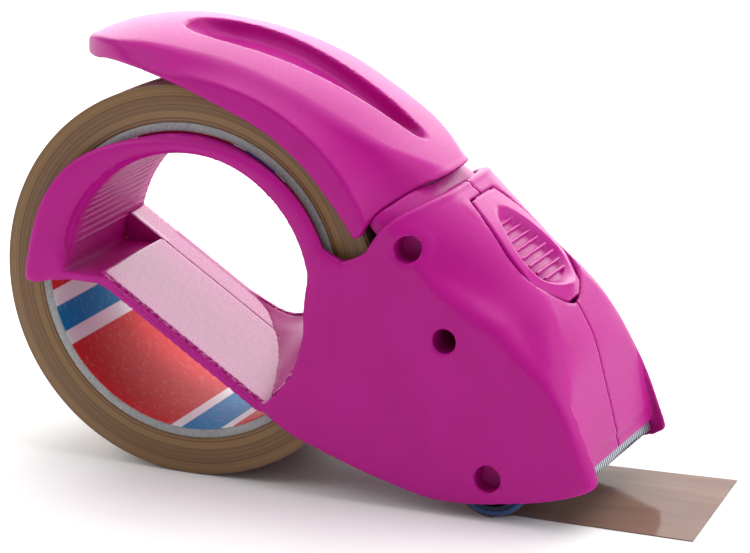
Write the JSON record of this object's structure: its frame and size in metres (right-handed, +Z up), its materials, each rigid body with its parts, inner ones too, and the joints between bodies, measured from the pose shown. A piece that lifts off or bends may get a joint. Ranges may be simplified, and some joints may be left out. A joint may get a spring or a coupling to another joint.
{
  "type": "hand-held packing tape dispenser",
  "caption": "Hand-held packing tape dispenser gripped through the roll's core, with a lifting guard, a thumb button, a sliding toothed blade and a length of tape drawn out.",
  "frame": {"origin": "on the table under the middle of the whole object's bounding box, drawn-out tape included", "axes": "+X forward from the roll towards the blade, +Y across the tape to the left, +Z up"},
  "size_m": [0.182, 0.058, 0.1099],
  "materials": {
    "case_plastic": "fine matt texture",
    "grip_plastic": "smooth",
    "guard_plastic": "fine matt texture",
    "button_plastic": "fine matt texture",
    "blade_steel": "ground",
    "pin_steel": "turned",
    "screw_steel": "blackened",
    "spring_steel": "drawn wire",
    "slide_plastic": "moulded",
    "roller_blue": "matt",
    "roller_hub": "moulded",
    "tape_side": "edges of many layers",
    "tape_film": "translucent brown film",
    "board": "grey board",
    "lining_print": "printed paper"
  },
  "bodies": {
    "case": {"near_shell": "case_plastic", "far_shell": "case_plastic", "grip_plate": "grip_plastic", "ring_cap": "grip_plastic", "guard_pin": "pin_steel", "button_pin": "pin_steel", "button_spring": "spring_steel", "roller_axle": "pin_steel", "guide_bar": "slide_plastic", "case_screws": "screw_steel", "tape_web": "tape_film", "tape_strip": "tape_film"},
    "guard": {"guard": "guard_plastic", "guard_neck": "guard_plastic"},
    "button": {"thumb_button": "button_plastic"},
    "blade_slide": {"blade_carrier": "slide_plastic", "blade": "blade_steel", "blade_rivets": "pin_steel"},
    "roller": {"roller_tyre": "roller_blue", "roller_core": "roller_hub"},
    "roll": {"tape_winding": "tape_side", "tape_core": "board", "core_lining": "lining_print"}
  },
  "joints": [
    {"name": "roll_spin", "type": "hinge", "parent": "case", "child": "roll", "pos_m": [-0.0412, 0, 0.0498], "axis": [0, 1, 0], "continuous": true},
    {"name": "roller_spin", "type": "hinge", "parent": "case", "child": "roller", "pos_m": [0.0406, 0, 0.0109], "axis": [0, 1, 0], "continuous": true},
    {"name": "guard_lift", "type": "hinge", "parent": "case", "child": "guard", "pos_m": [0.0179, 0, 0.0657], "axis": [0, 1, 0], "range_deg": [0, 13]},
    {"name": "button_press", "type": "hinge", "parent": "case", "child": "button", "pos_m": [0.02449, 0, 0.06898], "axis": [0, 1, 0], "range_deg": [0, 5], "stiffness_Nm_per_rad": 0.5, "springref_deg": -9.74},
    {"name": "blade_out", "type": "slide", "parent": "case", "child": "blade_slide", "axis": [0.2689, 0, -0.9632], "range_m": [0, 0.002]}
  ],
  "couplings": [
    {"joint": "roller_spin", "follows": "roll_spin", "ratio": -4.6},
    {"joint": "blade_out", "follows": "button_press", "m_per_rad": 0.02255}
  ]
}
